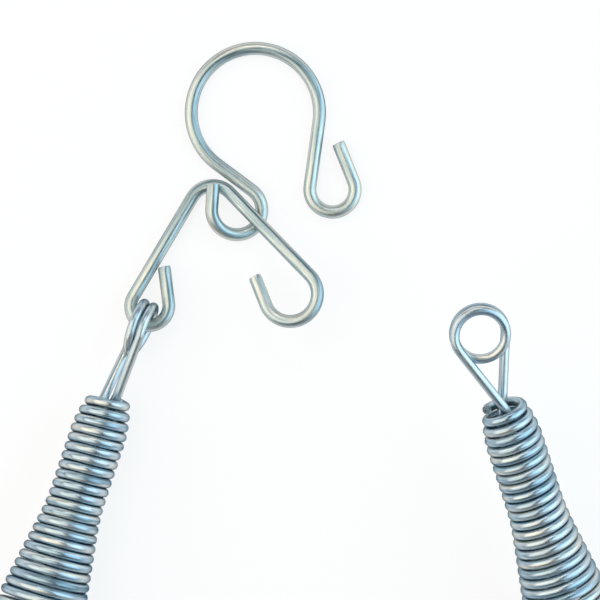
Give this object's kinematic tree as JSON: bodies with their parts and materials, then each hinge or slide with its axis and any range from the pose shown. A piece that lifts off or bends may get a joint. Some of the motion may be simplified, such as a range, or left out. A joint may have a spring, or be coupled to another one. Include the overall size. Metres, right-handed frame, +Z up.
{
  "type": "cradle spring",
  "caption": "Extension spring of drawn wire bent into a horseshoe, with coned ends, a swivel eye in each end, and a V link and omega hook hung in one eye.",
  "frame": {"origin": "middle of the whole, on the flat surface that it lies on", "axes": "+Y from the bend of the coil towards its two eyes, +X towards the bare eye's side, +Z up"},
  "size_m": [0.229, 0.3386, 0.058],
  "materials": {
    "spring_wire": "bright zinc-plated drawn spring wire",
    "hook_wire": "bright zinc-plated drawn wire"
  },
  "bodies": {
    "coil": {"coil_spring": "spring_wire"},
    "hook_side_swivel": {"hook_side_eye": "spring_wire"},
    "bare_swivel": {"bare_eye": "spring_wire"},
    "link": {"v_link": "hook_wire"},
    "hook": {"omega_hook": "hook_wire"}
  },
  "joints": [
    {"name": "hook_side_eye_swivel", "type": "hinge", "parent": "coil", "child": "hook_side_swivel", "pos_m": [-0.06793, 0.0451, 0.01307], "axis": [0.3813, 0.9206, -0.0837], "continuous": true},
    {"name": "bare_eye_swivel", "type": "hinge", "parent": "coil", "child": "bare_swivel", "pos_m": [0.06807, 0.0451, 0.04553], "axis": [-0.2985, 0.9187, 0.2588], "continuous": true},
    {"name": "link_swing", "type": "hinge", "parent": "hook_side_swivel", "child": "link", "pos_m": [-0.05724, 0.07085, 0.00694], "axis": [0.9104, -0.3677, 0.1898], "range_deg": [-30, 30]},
    {"name": "hook_swing", "type": "hinge", "parent": "link", "child": "hook", "pos_m": [-0.02468, 0.11294, 0.00488], "axis": [0.7614, -0.6141, 0.2078], "range_deg": [-20, 45]}
  ]
}
